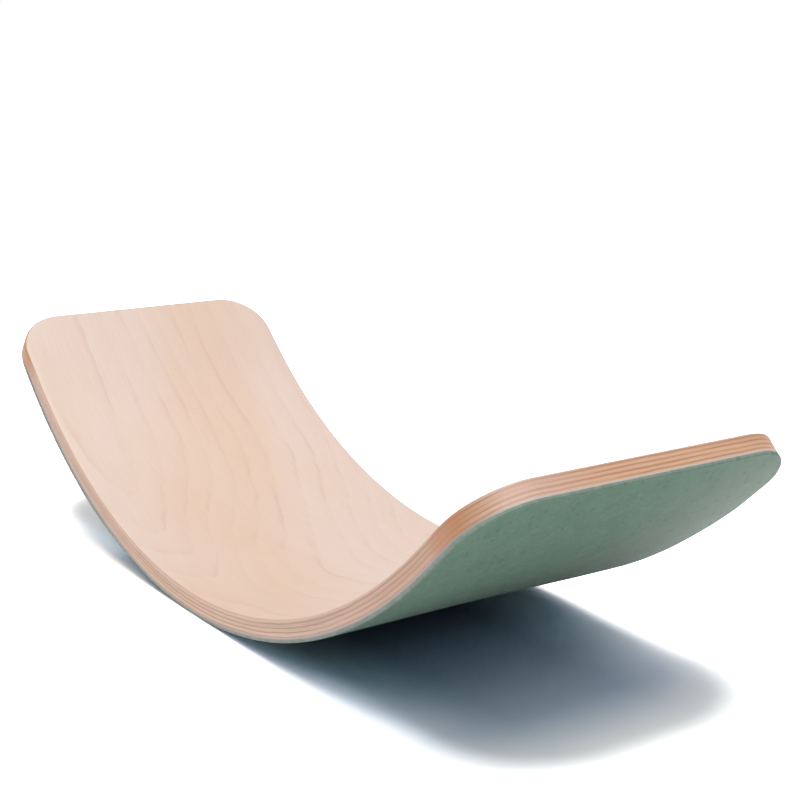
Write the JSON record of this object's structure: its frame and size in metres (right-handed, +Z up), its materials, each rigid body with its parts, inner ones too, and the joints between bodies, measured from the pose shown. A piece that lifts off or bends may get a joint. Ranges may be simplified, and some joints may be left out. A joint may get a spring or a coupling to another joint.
{
  "type": "curved balance board",
  "caption": "Rocking balance board of moulded plywood, a wide plank curved up to both ends with straight tips and rounded corners, with felt glued to its convex underside.",
  "frame": {"origin": "on the floor, under the middle of the board, where the felt touches it at rest", "axes": "+X along the board's length, the direction in which it rocks; +Y across its width; +Z up, towards the hollow side"},
  "size_m": [0.8732, 0.3, 0.2131],
  "materials": {
    "face_wood": "clear satin lacquer on a pale face veneer",
    "pale_veneer": "sanded and lacquered edge",
    "dark_veneer": "sanded and lacquered edge",
    "felt": "heathered needle felt"
  },
  "bodies": {
    "root": {"face_veneer": "face_wood", "crossband_1": "dark_veneer", "inner_veneer_1": "pale_veneer", "crossband_2": "dark_veneer", "core_veneer": "pale_veneer", "crossband_3": "dark_veneer", "inner_veneer_2": "pale_veneer", "crossband_4": "dark_veneer", "back_veneer": "pale_veneer", "felt_sheet": "felt"}
  },
  "joints": []
}
